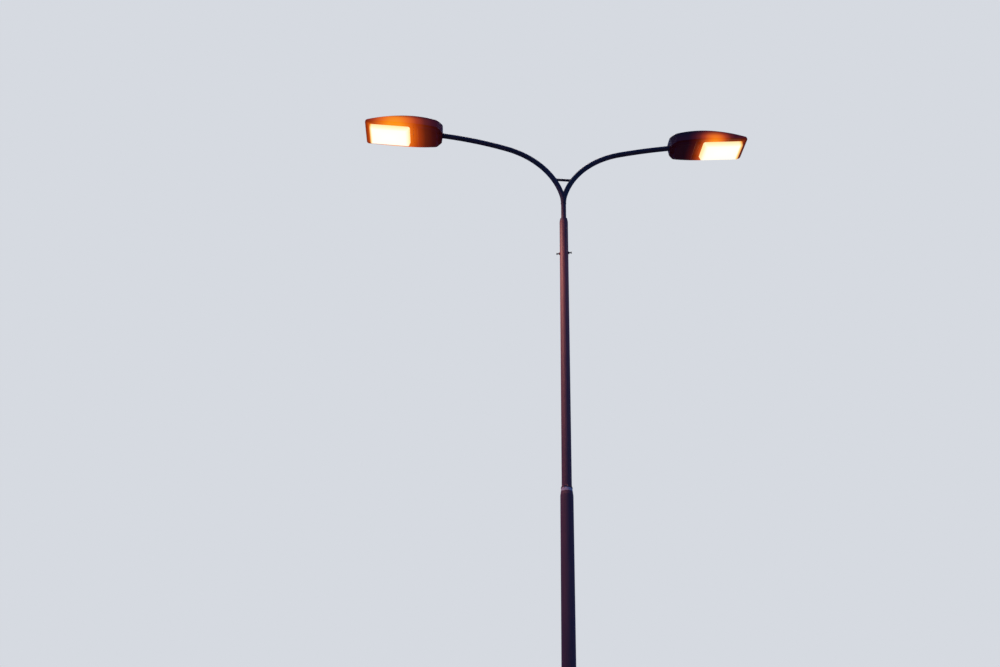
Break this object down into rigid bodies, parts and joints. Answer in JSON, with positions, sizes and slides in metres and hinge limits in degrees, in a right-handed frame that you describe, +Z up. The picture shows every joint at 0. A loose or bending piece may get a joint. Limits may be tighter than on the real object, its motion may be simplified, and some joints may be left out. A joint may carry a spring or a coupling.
{
  "type": "double-arm street light",
  "caption": "Stepped steel street light mast on a bolted base plate with two bent bracket arms, each carrying a hinged lantern with a glass bowl.",
  "frame": {"origin": "middle of the base plate's underside", "axes": "+Z up the mast; the two arms lie in the XZ plane, the longer one towards -X; the cable door faces -Y"},
  "size_m": [4.354, 0.4, 9.4539],
  "materials": {
    "mast_paint": "brushed dark red-brown paint, satin, with drips and weather marks",
    "bracket_paint": "brushed near-black paint, satin",
    "lantern_paint": "dark stoved enamel on cast aluminium, weathered satin",
    "zinc_steel": "dull zinc plating",
    "brass_lock": "worn brass",
    "bowl_glass": "clear pressed glass, lit warm from inside",
    "lamp_glass": "frosted lamp bulb, lit",
    "porcelain": "glazed lamp holder",
    "reflector_aluminium": "anodised bright aluminium sheet",
    "ballast_lacquer": "dipped black lacquer",
    "capacitor_can": "drawn aluminium can"
  },
  "bodies": {
    "mast": {"base_plate": "mast_paint", "base_gussets": "mast_paint", "lower_tube": "mast_paint", "door_frame": "mast_paint", "door": "mast_paint", "door_locks": "brass_lock", "lower_weld_ring": "mast_paint", "middle_tube": "mast_paint", "upper_weld_ring": "mast_paint", "top_tube": "mast_paint", "set_screws": "zinc_steel", "bracket_cap": "bracket_paint", "spacer_rings": "zinc_steel", "bracket_stem": "bracket_paint", "left_arm": "bracket_paint", "right_arm": "bracket_paint", "cross_bar": "bracket_paint", "left_housing": "lantern_paint", "left_spigot_clamp": "zinc_steel", "left_reflector": "reflector_aluminium", "left_lamp": "lamp_glass", "left_lamp_holder": "porcelain", "left_gear_tray": "zinc_steel", "left_ballast": "ballast_lacquer", "left_capacitor": "capacitor_can", "left_hinge_pins": "zinc_steel", "right_housing": "lantern_paint", "right_spigot_clamp": "zinc_steel", "right_reflector": "reflector_aluminium", "right_lamp": "lamp_glass", "right_lamp_holder": "porcelain", "right_gear_tray": "zinc_steel", "right_ballast": "ballast_lacquer", "right_capacitor": "capacitor_can", "right_hinge_pins": "zinc_steel"},
    "left_bowl_lid": {"left_bowl_frame": "lantern_paint", "left_bowl": "bowl_glass", "left_bowl_catches": "zinc_steel"},
    "left_gear_lid": {"left_gear_cover": "lantern_paint", "left_cover_catch": "zinc_steel"},
    "right_bowl_lid": {"right_bowl_frame": "lantern_paint", "right_bowl": "bowl_glass", "right_bowl_catches": "zinc_steel"},
    "right_gear_lid": {"right_gear_cover": "lantern_paint", "right_cover_catch": "zinc_steel"}
  },
  "joints": [
    {"name": "left_bowl_lid_hinge", "type": "hinge", "parent": "mast", "child": "left_bowl_lid", "pos_m": [-1.70301, -0.00279, 9.23573], "axis": [0.0046, -0.9993, 0.0381], "range_deg": [0, 85]},
    {"name": "left_gear_lid_hinge", "type": "hinge", "parent": "mast", "child": "left_gear_lid", "pos_m": [-1.40511, -0.00172, 9.2279], "axis": [0.0046, -0.9993, 0.0381], "range_deg": [0, 80]},
    {"name": "right_bowl_lid_hinge", "type": "hinge", "parent": "mast", "child": "right_bowl_lid", "pos_m": [1.55082, 0.00279, 9.2613], "axis": [-0.008, 0.9993, 0.0375], "range_deg": [0, 85]},
    {"name": "right_gear_lid_hinge", "type": "hinge", "parent": "mast", "child": "right_gear_lid", "pos_m": [1.2548, 0.00172, 9.22703], "axis": [-0.008, 0.9993, 0.0375], "range_deg": [0, 80]}
  ]
}
